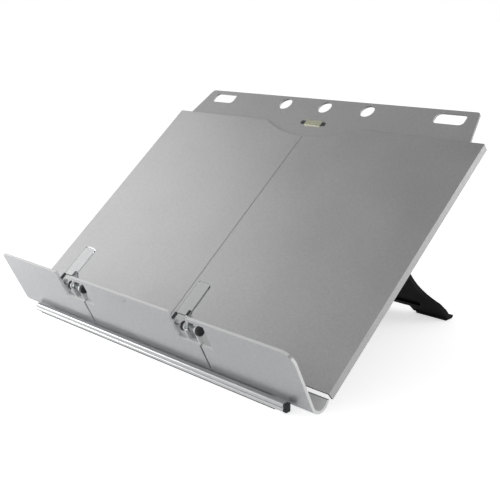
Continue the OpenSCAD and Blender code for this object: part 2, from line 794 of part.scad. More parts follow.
module bracket(x) {
    stop_face = leg_t / 2 + stop_gap;
    color(graphite) difference() {
        union() {
            on_panel() translate([x - bracket_w / 2, leg_pin_u + bracket_ear_r, -flange_depth - bracket_t])
                cube([bracket_w, bracket_end_u - bracket_ear_r, bracket_t]);
            for (x0 = [x - bracket_w / 2, x + ear_in]) {
                on_panel() along_x(x0, x0 + bracket_t) bracket_ear_profile();
                on_leg() along_x(x0, x0 + bracket_t) translate([0, stop_face]) square([leg_limb, bracket_t]);
            }
            // bar that the open leg leans on
            on_leg() along_x(x - bracket_w / 2, x + bracket_w / 2)
                translate([leg_top + 1, stop_face]) square([leg_limb - leg_top - 1, bracket_t]);
        }
        translate([0, leg_pin[0], leg_pin[1]]) rod_along_x(leg_pin_d / 2, -big / 2, big / 2);
        on_panel() for (dx = [-1, 1])
            translate([x + dx * bracket_w / 4, leg_pin_u + bracket_screw_u, -big / 2])
                cylinder(d = screw_d + 0.2, h = big / 2);
    }
}

module leg_bracket_left() { bracket(-leg_hinge_x); }

module leg_bracket_right() { bracket(leg_hinge_x); }

module bracket_screws() {
    under_bracket = -flange_depth - bracket_t;
    color(steel) on_panel() for (side = [-1, 1], dx = [-1, 1])
        translate([side * leg_hinge_x + dx * bracket_w / 4, leg_pin_u + bracket_screw_u, under_bracket])
            mirror([0, 0, 1]) screw(bracket_t + skin_t + 1);
}

// Headed pin, its head on the outer side of the bracket
module leg_pin_at(side) {
    color(steel) mirror([side < 0 ? 1 : 0, 0, 0]) translate([leg_hinge_x, leg_pin[0], leg_pin[1]]) {
        rod_along_x(leg_pin_d / 2, -bracket_w / 2 - 1, bracket_w / 2);
        rod_along_x(leg_pin_d / 2 + 1.2, bracket_w / 2, bracket_w / 2 + 1.4);
    }
}

module leg_pin_left() { leg_pin_at(-1); }

module leg_pin_right() { leg_pin_at(1); }

module leg_outline() {
    half = leg_w / 2;
    flare_end = acos(1 - (foot_span - leg_w - 2 * toe) / 2 / flare_r);
    flare_low = flare_v + flare_r * sin(flare_end);
    right = concat([[half, leg_top]], arc([half + flare_r, flare_v], flare_r, 180, 180 - flare_end),
        [[foot_span / 2, flare_low + 3 * toe], [foot_span / 2, leg_len + foot_d],
        [arch_x, leg_len + foot_d], [arch_x - arch_slant, arch_v]]);
    polygon(concat(right, [for (i = [len(right) - 1:-1:0]) [-right[i][0], right[i][1]]]));
}

// Shallow pockets between the ribs on the leg's inner face
module leg_pockets() {
    field_w = leg_w - 2 * leg_rim;
    field_h = arch_v - leg_rim - pocket_top;
    step_x = (field_w + leg_rib) / pocket_cols;
    step_v = (field_h + leg_rib) / pocket_rows;
    for (i = [0:pocket_cols - 1], j = [0:pocket_rows - 1])
        translate([-leg_w / 2 + leg_rim + (i + 0.5) * step_x - leg_rib / 2,
            pocket_top + (j + 0.5) * step_v - leg_rib / 2])
            rounded_rect(step_x - leg_rib, step_v - leg_rib, 4);
}

// Foot block: it starts below the floor cut and ends in the middle of the leg's plate
module foot_profile() {
    polygon([[foot_y - foot_d / 2, 0], [foot_y + foot_d / 2, 0],
        [foot_y + foot_d / 2, pad_t + foot_height * 0.4],
        [foot_y - (pad_t + foot_height) / tan(leg_angle), pad_t + foot_height]]);
}

module rear_leg() {
    color(black) difference() {
        union() {
            on_leg() translate([0, 0, -leg_t / 2]) linear_extrude(leg_t) leg_outline();
            on_leg() for (x = [-leg_hinge_x, leg_hinge_x]) {
                translate([x, 0, 0]) rod_along_x(barrel_r, -barrel_w / 2, barrel_w / 2);
                translate([x - barrel_w / 2, 0, -leg_t / 2]) cube([barrel_w, leg_top + 1, leg_t]);
            }
            mirrored() along_x(arch_x + foot_inset, foot_span / 2 - foot_inset) foot_profile();
        }
        on_leg() translate([0, 0, -leg_t / 2 - 1]) linear_extrude(1 + leg_t - leg_web) leg_pockets();
        translate([0, leg_pin[0], leg_pin[1]]) rod_along_x(leg_pin_d / 2 + running, -big / 2, big / 2);
        translate([-big / 2, -big / 2, pad_t - big]) cube([big, big, big]);
    }
}

module leg_washers() {
    color("#d8d8d4") translate([0, leg_pin[0], leg_pin[1]])
        for (x = [-leg_hinge_x, leg_hinge_x], side = [-1, 1]) difference() {
            near = x + side * (barrel_w / 2 + side_gap / 2);
            far = near + side * washer_t;
            rod_along_x(barrel_r - 0.4, min(near, far), max(near, far));
            rod_along_x(leg_pin_d / 2 + running, -big / 2, big / 2);
        }
}

module foot_pad(side) {
    color(black) translate([side * (foot_span / 2 - foot_w / 2) - foot_w / 2 + 1, foot_y - foot_d / 2, 0])
        cube([foot_w - 2, foot_d, pad_t]);
}

module foot_pad_left() { foot_pad(-1); }

module foot_pad_right() { foot_pad(1); }

// ---------- what is drawn ----------

front_panel();
top_strip();
badge_plate();
back_shell();
shell_screws();
base_plate();
plate_screws();
front_rail();
rail_screws();
rail_cap_left();
rail_cap_right();
rail_sole();
ledge_rod();
rod_rings();
leg_bracket_left();
leg_bracket_right();
bracket_screws();
leg_pin_left();
leg_pin_right();
ledge_tray();
clip_block_left();
clip_block_right();
clip_screws();
clip_spring_left();
clip_spring_right();
page_finger_left();
page_finger_right();
finger_pin_left();
finger_pin_right();
finger_knob_left();
finger_knob_right();
finger_collar_left();
finger_collar_right();
finger_cap_left();
finger_cap_right();
rear_leg();
leg_washers();
foot_pad_left();
foot_pad_right();
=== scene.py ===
import math

import bmesh
import bpy
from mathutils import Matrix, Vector


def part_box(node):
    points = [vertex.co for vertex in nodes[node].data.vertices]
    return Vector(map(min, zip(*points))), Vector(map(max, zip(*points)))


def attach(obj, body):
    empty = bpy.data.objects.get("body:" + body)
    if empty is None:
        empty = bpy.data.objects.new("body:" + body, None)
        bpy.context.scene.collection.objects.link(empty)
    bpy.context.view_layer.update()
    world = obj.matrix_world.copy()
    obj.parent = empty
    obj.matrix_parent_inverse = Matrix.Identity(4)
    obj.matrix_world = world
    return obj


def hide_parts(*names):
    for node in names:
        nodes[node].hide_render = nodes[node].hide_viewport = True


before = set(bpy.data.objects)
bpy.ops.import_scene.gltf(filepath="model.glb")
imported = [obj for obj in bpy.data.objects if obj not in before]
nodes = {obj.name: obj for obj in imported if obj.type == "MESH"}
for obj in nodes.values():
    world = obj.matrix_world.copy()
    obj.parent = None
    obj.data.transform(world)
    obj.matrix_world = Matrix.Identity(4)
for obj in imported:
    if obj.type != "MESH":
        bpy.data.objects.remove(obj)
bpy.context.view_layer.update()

mm = 0.001
print("frame loaded:", len(nodes), "nodes")


camera = {
    "place": (0.49164, -0.38806, 0.25148),
    "azimuth": 44.16,       # degrees, turned left from looking along +Y
    "elevation": 15.22,     # degrees above level
    "lens": 62.12, "sensor": 36,
    "nearest": 0.02, "farthest": 100,
}


def makeCamera():
    data = bpy.data.cameras.new("camera")
    data.lens = camera["lens"]
    data.sensor_width = camera["sensor"]
    data.clip_start = camera["nearest"]
    data.clip_end = camera["farthest"]
    eye = bpy.data.objects.new("camera", data)
    eye.location = camera["place"]
    eye.rotation_euler = (math.radians(90 - camera["elevation"]), 0, math.radians(camera["azimuth"]))
    bpy.context.scene.collection.objects.link(eye)
    bpy.context.scene.camera = eye
    bpy.context.scene.view_settings.view_transform = "Standard"


makeCamera()
print("camera placed")


# sRGB hex text to the linear values that the shaders work in
def hexColour(text):
    def linear(value):
        return value / 12.92 if value <= 0.04045 else ((value + 0.055) / 1.055) ** 2.4
    return tuple(linear(int(text[i:i + 2], 16) / 255) for i in (1, 3, 5)) + (1.0,)


# An input is a value or another node's output; stops are the places and colours of a ramp
def addNode(tree, kind, inputs=None, stops=(), **settings):
    node = tree.nodes.new(kind)
    for name, value in settings.items():
        setattr(node, name, value)
    for i, (position, colour) in enumerate(stops):
        points = node.color_ramp.elements
        point = points[i] if i < 2 else points.new(position)  # a new ramp has two points
        point.position = position
        point.color = colour
    for socket, value in (inputs or {}).items():
        if isinstance(value, bpy.types.NodeSocket):
            tree.links.new(value, node.inputs[socket])
        else:
            node.inputs[socket].default_value = value
    return node


# Pattern scale for features of that many millimetres
def perMm(size):
    return 1 / (size * mm)


# Shader values are given by socket name, with underscores for its spaces
def newMaterial(name, **values):
    material = bpy.data.materials.new(name)
    material.use_nodes = True
    tree = material.node_tree
    shader = tree.nodes["Principled BSDF"]
    for socket, value in values.items():
        shader.inputs[socket.replace("_", " ")].default_value = value
    return material, tree, shader


# Fine relief all over a skin, its size and depth in millimetres
def addGrain(tree, shader, where, size, depth):
    grain = addNode(tree, "ShaderNodeTexNoise", {"Vector": where, "Scale": perMm(size), "Detail": 2.0})
    bump = addNode(tree, "ShaderNodeBump",
                   {"Height": grain.outputs["Fac"], "Distance": depth * mm, "Strength": 1.0})
    tree.links.new(bump.outputs["Normal"], shader.inputs["Normal"])


# Noise seldom leaves this part of 0 to 1, so roughness is spread over it
noiseSpan = {"From Min": 0.3, "From Max": 0.7}


# Silver-pigmented ABS, injection moulded in a finely eroded tool: satin, with a
# faint sparkle and slow changes of tone. The flakes are far finer than this in
# the real plastic and are drawn coarse enough to show.
silverAbs = {
    "flakeSize": 0.9, "flakeColours": [(0.0, "#bcbcbc"), (0.5, "#c5c5c5"), (1.0, "#cecece")],
    "grainSize": 0.7, "grainDepth": 0.010,
    "cloudSize": 55, "cloudDetail": 3.0, "roughLow": 0.34, "roughHigh": 0.42, "metallic": 0.8,
}

# The panel: its lower edge face is painted dark, as painted shade along that edge
panelAbs = dict(silverAbs, paintedLightColour="#2c2d2e", paintedLightRough=0.6, paintedLightMetallic=0.0)

# The ledge comes from a polished tool: the same plastic, a touch cooler and glossier,
# mirroring the table. Its ends, the edges of its lip and notches and its trough's inside are painted pale and
# dull: painted light.
ledgeAbs = dict(silverAbs, flakeColours=[(0.0, "#bbbcbe"), (0.5, "#c4c5c7"), (1.0, "#cdced0")],
                roughLow=0.28, roughHigh=0.34, paintedLightColour="#e6e6e6", paintedLightRough=0.55, paintedLightMetallic=0.15)

# The same ABS with less pigment, for the strip above the panel: a tone darker and duller
stripAbs = dict(silverAbs, flakeColours=[(0.0, "#afafaf"), (0.5, "#b8b8b8"), (1.0, "#c1c1c1")],
                roughLow=0.46, roughHigh=0.54, metallic=0.6)

# The clip blocks' ABS holds little flake, so it is pale and hardly mirrors
clipAbs = dict(silverAbs, flakeColours=[(0.0, "#cfd0d1"), (0.5, "#d6d7d8"), (1.0, "#dddedf")],
               roughLow=0.46, roughHigh=0.54, metallic=0.25)


# Angles in degrees and sizes in millimetres, as the solids have them. "facing" is how
# squarely a face must look along an edge's direction to count as that edge.
lip = {"lean": 26, "thick": 2.2, "cutDepth": 25.2, "endsBeyond": 160, "troughInside": 7.0, "facing": 0.8}
panel = {"tilt": 39, "facing": 0.8}


# Where the ledge is painted pale and dull, as painted light where light falls: the edges of its lip
# and notches, its two ends and the inside of its trough
def ledgePaintedLight(tree):
    low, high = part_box("ledge_tray")
    lean = math.radians(lip["lean"])
    up = (0, -math.sin(lean), math.cos(lean))
    top = up[1] * low[1] + up[2] * high[2] + lip["thick"] * mm * up[1] * up[2]
    rodLow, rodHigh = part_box("ledge_rod")
    axis = (0, (rodLow[1] + rodHigh[1]) / 2, (rodLow[2] + rodHigh[2]) / 2)
    spot = addNode(tree, "ShaderNodeTexCoord").outputs
    # as high on the lip as its notches reach, or at one of the ledge's two ends
    height = addNode(tree, "ShaderNodeVectorMath", {0: spot["Object"], 1: up}, operation="DOT_PRODUCT")
    inNotch = addNode(tree, "ShaderNodeMath",
                      {0: height.outputs["Value"], 1: top - lip["cutDepth"] * mm}, operation="GREATER_THAN")
    along = addNode(tree, "ShaderNodeSeparateXYZ", {0: spot["Object"]})
    offMiddle = addNode(tree, "ShaderNodeMath", {0: along.outputs["X"]}, operation="ABSOLUTE")
    atEnd = addNode(tree, "ShaderNodeMath",
                    {0: offMiddle.outputs[0], 1: lip["endsBeyond"] * mm}, operation="GREATER_THAN")
    reach = addNode(tree, "ShaderNodeMath", {0: inNotch.outputs[0], 1: atEnd.outputs[0]}, operation="MAXIMUM")
    # there, faces that look sideways
    facing = addNode(tree, "ShaderNodeSeparateXYZ", {0: spot["Normal"]})
    turned = addNode(tree, "ShaderNodeMath", {0: facing.outputs["X"]}, operation="ABSOLUTE")
    sideways = addNode(tree, "ShaderNodeMath",
                       {0: turned.outputs[0], 1: lip["facing"]}, operation="GREATER_THAN")
    sides = addNode(tree, "ShaderNodeMath",
                    {0: reach.outputs[0], 1: sideways.outputs[0]}, operation="MULTIPLY")
    # and on the lip, faces that look up along it
    upward = addNode(tree, "ShaderNodeVectorMath", {0: spot["Normal"], 1: up}, operation="DOT_PRODUCT")
    level = addNode(tree, "ShaderNodeMath",
                    {0: upward.outputs["Value"], 1: lip["facing"]}, operation="GREATER_THAN")
    tops = addNode(tree, "ShaderNodeMath", {0: inNotch.outputs[0], 1: level.outputs[0]}, operation="MULTIPLY")
    edge = addNode(tree, "ShaderNodeMath", {0: sides.outputs[0], 1: tops.outputs[0]}, operation="MAXIMUM")
    # the trough, by its distance from the rod's axis
    flat = addNode(tree, "ShaderNodeVectorMath", {0: spot["Object"], 1: (0, 1, 1)}, operation="MULTIPLY")
    radius = addNode(tree, "ShaderNodeVectorMath", {0: flat.outputs[0], 1: axis}, operation="DISTANCE")
    trough = addNode(tree, "ShaderNodeMath",
                     {0: radius.outputs["Value"], 1: lip["troughInside"] * mm}, operation="LESS_THAN")
    paintedLightMask = addNode(tree, "ShaderNodeMath", {0: edge.outputs[0], 1: trough.outputs[0]}, operation="MAXIMUM")
    return paintedLightMask.outputs[0]


# The panel's lower edge face, painted dark as painted shade
def panelPaintedShade(tree):
    tilt = math.radians(panel["tilt"])
    down = (0, -math.cos(tilt), -math.sin(tilt))
    normal = addNode(tree, "ShaderNodeTexCoord").outputs["Normal"]
    along = addNode(tree, "ShaderNodeVectorMath", {0: normal, 1: down}, operation="DOT_PRODUCT")
    paintedLightMask = addNode(tree, "ShaderNodeMath",
                  {0: along.outputs["Value"], 1: panel["facing"]}, operation="GREATER_THAN")
    return paintedLightMask.outputs[0]


# In a Mix node, 0 is the factor, 2 and 3 are its numbers, and 6 and 7 its colours
def makeFlakeAbs(name, look, paintedLight=None):
    material, tree, shader = newMaterial(name, Metallic=look["metallic"])
    where = addNode(tree, "ShaderNodeTexCoord").outputs["Object"]
    flakes = addNode(tree, "ShaderNodeTexVoronoi", {"Vector": where, "Scale": perMm(look["flakeSize"])})
    tone = addNode(tree, "ShaderNodeSeparateColor", {"Color": flakes.outputs["Color"]})
    cloud = addNode(tree, "ShaderNodeTexNoise",
                    {"Vector": where, "Scale": perMm(look["cloudSize"]), "Detail": look["cloudDetail"]})
    both = addNode(tree, "ShaderNodeMath", {0: tone.outputs["Red"], 1: cloud.outputs["Fac"]}, operation="ADD")
    mean = addNode(tree, "ShaderNodeMath", {0: both.outputs[0], 1: 0.5}, operation="MULTIPLY")
    stops = [(at, hexColour(tint)) for at, tint in look["flakeColours"]]
    colour = addNode(tree, "ShaderNodeValToRGB", {"Fac": mean.outputs[0]}, stops).outputs["Color"]
    rough = addNode(tree, "ShaderNodeMapRange",
                    {**noiseSpan, "Value": cloud.outputs["Fac"],
                     "To Min": look["roughLow"], "To Max": look["roughHigh"]}).outputs["Result"]
    # Where the mask is set, a painted colour replaces the flakes: painted shade on the panel's edge, painted
    # light on the ledge
    if paintedLight:
        paintedLightMask = paintedLight(tree)
        colour = addNode(tree, "ShaderNodeMix", {0: paintedLightMask, 6: colour, 7: hexColour(look["paintedLightColour"])},
                         data_type="RGBA").outputs[2]
        rough = addNode(tree, "ShaderNodeMix", {0: paintedLightMask, 2: rough, 3: look["paintedLightRough"]}).outputs[0]
        metal = addNode(tree, "ShaderNodeMix", {0: paintedLightMask, 2: look["metallic"], 3: look["paintedLightMetallic"]})
        tree.links.new(metal.outputs[0], shader.inputs["Metallic"])
    tree.links.new(colour, shader.inputs["Base Color"])
    tree.links.new(rough, shader.inputs["Roughness"])
    addGrain(tree, shader, where, look["grainSize"], look["grainDepth"])
    return material


# What all the dyed mouldings share: the dye lies a little unevenly, in soft clouds
dye = {"cloudSize": 18, "cloudDetail": 4.0, "cloudLow": 0.35, "cloudHigh": 0.65, "shine": 0.5}

# Dyed ABS, moulded: graphite with an eroded matt skin, or black and glossier
graphiteAbs = dict(dye, colours=["#34363a", "#3d4043"], grainSize=0.9, grainDepth=0.03,
                   roughLow=0.45, roughHigh=0.6)
blackAbs = dict(dye, colours=["#141517", "#1c1d20"], grainSize=1.2, grainDepth=0.008,
                roughLow=0.26, roughHigh=0.38)
# The leg: the same black from a sandblasted tool, dry and deep
legAbs = dict(dye, colours=["#040404", "#090909"], shine=0.16, grainSize=1.0, grainDepth=0.02,
              roughLow=0.6, roughHigh=0.72)
# Acetal washers: milky and waxy
acetal = dict(dye, colours=["#d2d2cc", "#dededa"], grainSize=1.5, grainDepth=0.004,
              roughLow=0.35, roughHigh=0.45)
# Moulded rubber: black, dry and dusty
rubber = dict(dye, colours=["#1a1a1b", "#262627"], grainSize=0.6, grainDepth=0.03,
              roughLow=0.72, roughHigh=0.88)
# The blades' bumpers: the same rubber with less carbon black, so dark grey and dull
greyRubber = dict(rubber, colours=["#3e3e40", "#4c4c4e"])


def makeDyedPlastic(name, look):
    material, tree, shader = newMaterial(name, Specular_IOR_Level=look["shine"])
    where = addNode(tree, "ShaderNodeTexCoord").outputs["Object"]
    cloud = addNode(tree, "ShaderNodeTexNoise",
                    {"Vector": where, "Scale": perMm(look["cloudSize"]), "Detail": look["cloudDetail"]})
    low, high = look["colours"]
    colour = addNode(tree, "ShaderNodeValToRGB", {"Fac": cloud.outputs["Fac"]},
                     [(look["cloudLow"], hexColour(low)), (look["cloudHigh"], hexColour(high))])
    tree.links.new(colour.outputs["Color"], shader.inputs["Base Color"])
    rough = addNode(tree, "ShaderNodeMapRange",
                    {**noiseSpan, "Value": cloud.outputs["Fac"],
                     "To Min": look["roughLow"], "To Max": look["roughHigh"]})
    tree.links.new(rough.outputs["Result"], shader.inputs["Roughness"])
    addGrain(tree, shader, where, look["grainSize"], look["grainDepth"])
    return material


# Clear cast acrylic: glassy and colourless, so what lies behind shows through. Its edge
# faces are tinted grey, painted shade that draws the blade's outline.
clearAcrylic = {
    "colour": "#f8fafa", "roughness": 0.02, "ior": 1.49, "waveSize": 9, "waveDepth": 0.01,
    "paintedShadeEdgeColour": "#aeb1b3", "edgeFacing": 0.6,
}


def makeClearPlastic(name, look):
    material, tree, shader = newMaterial(name, Roughness=look["roughness"], IOR=look["ior"],
                                         Transmission_Weight=1.0)
    tilt = math.radians(panel["tilt"])
    out = (0, -math.sin(tilt), math.cos(tilt))
    spot = addNode(tree, "ShaderNodeTexCoord").outputs
    facing = addNode(tree, "ShaderNodeVectorMath", {0: spot["Normal"], 1: out}, operation="DOT_PRODUCT")
    flatness = addNode(tree, "ShaderNodeMath", {0: facing.outputs["Value"]}, operation="ABSOLUTE")
    # faces not looking out of the panel get the grey tint: painted shade
    edge = addNode(tree, "ShaderNodeMath",
                   {0: flatness.outputs[0], 1: look["edgeFacing"]}, operation="LESS_THAN")
    colour = addNode(tree, "ShaderNodeMix",
                     {0: edge.outputs[0], 6: hexColour(look["colour"]), 7: hexColour(look["paintedShadeEdgeColour"])},
                     data_type="RGBA")
    tree.links.new(colour.outputs[2], shader.inputs["Base Color"])
    addGrain(tree, shader, spot["Object"], look["waveSize"], look["waveDepth"])
    return material


# Zinc-plated steel, rolled or turned: bright grey with fine lines along it
zincSteel = {
    "colours": ["#aeb2b5", "#ccd0d2"], "lineSize": (14, 0.35, 0.35), "lineDetail": 3.0,
    "roughLow": 0.22, "roughHigh": 0.36,
}
# Metallised PVC profile, extruded: pale, with drawing lines along it. Its top, under the
# trough, is painted a dull darker grey: painted shade.
railPvc = {
    "colours": ["#d3d4d5", "#e2e3e4"], "lineSize": (40, 0.3, 0.3), "lineDetail": 3.0,
    "roughLow": 0.28, "roughHigh": 0.36, "paintedShadeTopColour": "#a8a9ab", "topRough": 0.75, "topFacing": 0.85,
}
# Metallised ABS badge, brushed along its length: pale champagne
champagneAbs = {
    "colours": ["#cccbb0", "#efeeda"], "lineSize": (9, 0.25, 0.25), "lineDetail": 3.0,
    "roughLow": 0.25, "roughHigh": 0.4,
}


def makeLinedMetal(name, look):
    material, tree, shader = newMaterial(name, Metallic=1.0)
    where = addNode(tree, "ShaderNodeTexCoord").outputs["Object"]
    stretch = addNode(tree, "ShaderNodeMapping",
                      {"Vector": where, "Scale": [perMm(size) for size in look["lineSize"]]})
    lines = addNode(tree, "ShaderNodeTexNoise",
                    {"Vector": stretch.outputs["Vector"], "Scale": 1.0, "Detail": look["lineDetail"]})
    low, high = look["colours"]
    stops = [(noiseSpan["From Min"], hexColour(low)), (noiseSpan["From Max"], hexColour(high))]
    colour = addNode(tree, "ShaderNodeValToRGB", {"Fac": lines.outputs["Fac"]}, stops).outputs["Color"]
    rough = addNode(tree, "ShaderNodeMapRange",
                    {**noiseSpan, "Value": lines.outputs["Fac"],
                     "To Min": look["roughLow"], "To Max": look["roughHigh"]}).outputs["Result"]
    # faces looking up get the darker grey: painted shade under the trough
    if "paintedShadeTopColour" in look:
        normal = addNode(tree, "ShaderNodeTexCoord").outputs["Normal"]
        upward = addNode(tree, "ShaderNodeSeparateXYZ", {0: normal}).outputs["Z"]
        top = addNode(tree, "ShaderNodeMath", {0: upward, 1: look["topFacing"]},
                      operation="GREATER_THAN").outputs[0]
        colour = addNode(tree, "ShaderNodeMix", {0: top, 6: colour, 7: hexColour(look["paintedShadeTopColour"])},
                         data_type="RGBA").outputs[2]
        rough = addNode(tree, "ShaderNodeMix", {0: top, 2: rough, 3: look["topRough"]}).outputs[0]
        metal = addNode(tree, "ShaderNodeMix", {0: top, 2: 1.0, 3: 0.0})
        tree.links.new(metal.outputs[0], shader.inputs["Metallic"])
    tree.links.new(colour, shader.inputs["Base Color"])
    tree.links.new(rough, shader.inputs["Roughness"])
    return material


finishes = {
    "panelAbs": makeFlakeAbs("silverAbsSatinPaintedShadeEdge", panelAbs, panelPaintedShade),
    "ledgeAbs": makeFlakeAbs("silverAbsGloss", ledgeAbs, ledgePaintedLight),
    "stripAbs": makeFlakeAbs("stripAbsSatin", stripAbs),
    "clipAbs": makeFlakeAbs("clipAbsPale", clipAbs),
    "graphiteAbs": makeDyedPlastic("graphiteAbsEroded", graphiteAbs),
    "blackAbs": makeDyedPlastic("blackAbsMoulded", blackAbs),
    "legAbs": makeDyedPlastic("blackAbsBlasted", legAbs),
    "acetal": makeDyedPlastic("naturalAcetal", acetal),
    "rubber": makeDyedPlastic("blackRubber", rubber),
    "greyRubber": makeDyedPlastic("greyRubber", greyRubber),
    "clearAcrylic": makeClearPlastic("clearAcrylic", clearAcrylic),
    "zincSteel": makeLinedMetal("zincPlatedSteel", zincSteel),
    "railPvc": makeLinedMetal("metallisedPvcProfile", railPvc),
    "champagne": makeLinedMetal("champagneAbs", champagneAbs),
}
print("materials made:", len(finishes))


# each node's finish, and the rounding of its edges in millimetres
nodeFinish = {
    "front_panel": ("panelAbs", 0.35),
    "top_strip": ("stripAbs", 0.35),
    "badge_plate": ("champagne", 0.2),
    "back_shell": ("graphiteAbs", 0.25),
    "shell_screws": ("zincSteel", 0.12),
    "base_plate": ("zincSteel", 0.25),
    "plate_screws": ("zincSteel", 0.12),
    "front_rail": ("railPvc", 0.2),
    "rail_screws": ("zincSteel", 0.1),
    "rail_cap_left": ("railPvc", 0.25),
    "rail_cap_right": ("blackAbs", 0.25),
    "rail_sole": ("rubber", 0.15),
    "ledge_rod": ("zincSteel", 0.2),
    "rod_rings": ("blackAbs", 0.15),
    "leg_bracket_left": ("graphiteAbs", 0.3),
    "leg_bracket_right": ("graphiteAbs", 0.3),
    "bracket_screws": ("zincSteel", 0.12),
    "leg_pin_left": ("zincSteel", 0.2),
    "leg_pin_right": ("zincSteel", 0.2),
    "ledge_tray": ("ledgeAbs", 0.4),
    "clip_block_left": ("clipAbs", 0.2),
    "clip_block_right": ("clipAbs", 0.2),
    "clip_screws": ("zincSteel", 0.12),
    "clip_spring_left": ("zincSteel", 0),
    "clip_spring_right": ("zincSteel", 0),
    "page_finger_left": ("clearAcrylic", 0.3),
    "page_finger_right": ("clearAcrylic", 0.3),
    "finger_pin_left": ("zincSteel", 0.15),
    "finger_pin_right": ("zincSteel", 0.15),
    "finger_collar_left": ("blackAbs", 0.25),
    "finger_collar_right": ("blackAbs", 0.25),
    "finger_knob_left": ("blackAbs", 0.3),
    "finger_knob_right": ("blackAbs", 0.3),
    "finger_cap_left": ("blackAbs", 0.25),
    "finger_cap_right": ("blackAbs", 0.25),
    "rear_leg": ("legAbs", 0.45),
    "leg_washers": ("acetal", 0.12),
    "foot_pad_left": ("rubber", 0.2),
    "foot_pad_right": ("rubber", 0.2),
}

# The weld distance and each edge's rounding are in millimetres, the angle in degrees
edges = {"weld": 0.001, "sharpAngle": 32, "segments": 3}


def makeSmoothGroup():
    group = bpy.data.node_groups.new("smoothByAngle", "GeometryNodeTree")
    group.interface.new_socket("Geometry", in_out="INPUT", socket_type="NodeSocketGeometry")
    group.interface.new_socket("Geometry", in_out="OUTPUT", socket_type="NodeSocketGeometry")
    source = addNode(group, "NodeGroupInput")
    angle = addNode(group, "GeometryNodeInputMeshEdgeAngle")
    flat = addNode(group, "FunctionNodeCompare",
                   {0: angle.outputs["Unsigned Angle"], 1: math.radians(edges["sharpAngle"])},
                   data_type="FLOAT", operation="LESS_EQUAL")
    faces = addNode(group, "GeometryNodeSetShadeSmooth",
                    {0: source.outputs[0], "Shade Smooth": True}, domain="FACE")
    kept = addNode(group, "GeometryNodeSetShadeSmooth",
                   {0: faces.outputs[0], "Shade Smooth": flat.outputs["Result"]}, domain="EDGE")
    addNode(group, "NodeGroupOutput", {0: kept.outputs[0]})
    return group


smoothGroup = makeSmoothGroup()


def roundEdges(piece, width):
    weld = piece.modifiers.new("weld", "WELD")
    weld.merge_threshold = edges["weld"] * mm
    if width:
        bevel = piece.modifiers.new("roundedEdges", "BEVEL")
        bevel.width = width * mm
        bevel.segments = edges["segments"]
        bevel.limit_method = "ANGLE"
        bevel.angle_limit = math.radians(edges["sharpAngle"])
        bevel.use_clamp_overlap = True
        bevel.harden_normals = False
        bevel.miter_outer = "MITER_ARC"
    smooth = piece.modifiers.new("smooth", "NODES")
    smooth.node_group = smoothGroup
    weighted = piece.modifiers.new("evenNormals", "WEIGHTED_NORMAL")
    weighted.keep_sharp = True


for name, (finish, width) in nodeFinish.items():
    piece = nodes[name]
    piece.data.materials.clear()
    piece.data.materials.append(finishes[finish])
    roundEdges(piece, width)
print("nodes finished:", len(nodeFinish))


def makePiece(name, shape, finish, body, width):
    bmesh.ops.recalc_face_normals(shape, faces=shape.faces)
    mesh = bpy.data.meshes.new(name)
    shape.to_mesh(mesh)
    shape.free()
    mesh.materials.append(finishes[finish])
    piece = bpy.data.objects.new(name, mesh)
    bpy.context.scene.collection.objects.link(piece)
    roundEdges(piece, width)
    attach(piece, body)
    return piece


def middle(node):
    low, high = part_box(node)
    return (low + high) / 2


# A point given across the panel, up its slope and out of its face, in millimetres from a centre
def onPanel(centre, across, up, out):
    tilt = math.radians(panel["tilt"])
    return centre + mm * Vector((across, up * math.cos(tilt) - out * math.sin(tilt),
                                 up * math.sin(tilt) + out * math.cos(tilt)))


def roundedOutline(width, height, radius, steps=8):
    points = []
    for k, (sx, sy) in enumerate([(1, 1), (-1, 1), (-1, -1), (1, -1)]):
        for i in range(steps + 1):
            angle = math.pi / 2 * (k + i / steps)
            points.append((sx * (width / 2 - radius) + radius * math.cos(angle),
                           sy * (height / 2 - radius) + radius * math.sin(angle)))
    return points


def addPlate(shape, centre, outline, low, high):
    rings = [[shape.verts.new(onPanel(centre, x, y, out)) for x, y in outline] for out in (low, high)]
    for i in range(len(outline)):
        k = (i + 1) % len(outline)
        shape.faces.new([rings[0][i], rings[0][k], rings[1][k], rings[1][i]])
    for ring in rings:
        shape.faces.new(ring)


# The badge: a pale plaque on a dark graphite seat that shows at its two ends, as painted
# shade for the shadow gap there. Seat and plaque are width, height and corner radius.
badge = {
    "seat": (27.6, 4.0, 1.4), "seatTop": -0.05, "seatRounding": 0.1,
    "plaque": (18.0, 6.8, 0.9), "plaqueShift": 0.6, "plaqueRounding": 0.2,
    "thick": 0.8, "sunk": 0.05,
}


def makeBadge():
    centre = middle("badge_plate")
    under = -badge["thick"] / 2 - badge["sunk"]
    # the dark seat: painted shade at the plaque's two ends
    seat = bmesh.new()
    addPlate(seat, centre, roundedOutline(*badge["seat"]), under, badge["seatTop"])
    makePiece("badge_shade_seat", seat, "graphiteAbs", "stand", badge["seatRounding"])
    plaque = bmesh.new()
    shifted = onPanel(centre, badge["plaqueShift"], 0, 0)
    addPlate(plaque, shifted, roundedOutline(*badge["plaque"]), under, badge["thick"] / 2)
    face = makePiece("badge_plaque", plaque, "champagne", "stand", badge["plaqueRounding"])
    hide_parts("badge_plate")


# Rubber bumper pressed over the lower corner of each clear blade; "up" and "out" are where
# it starts and ends from the pin's middle
bumper = {
    "wide": 1.7, "overhang": 0.5, "up": (-1.2, 4.2), "out": (7.2, 9.2), "radius": 0.5, "rounding": 0.25,
}


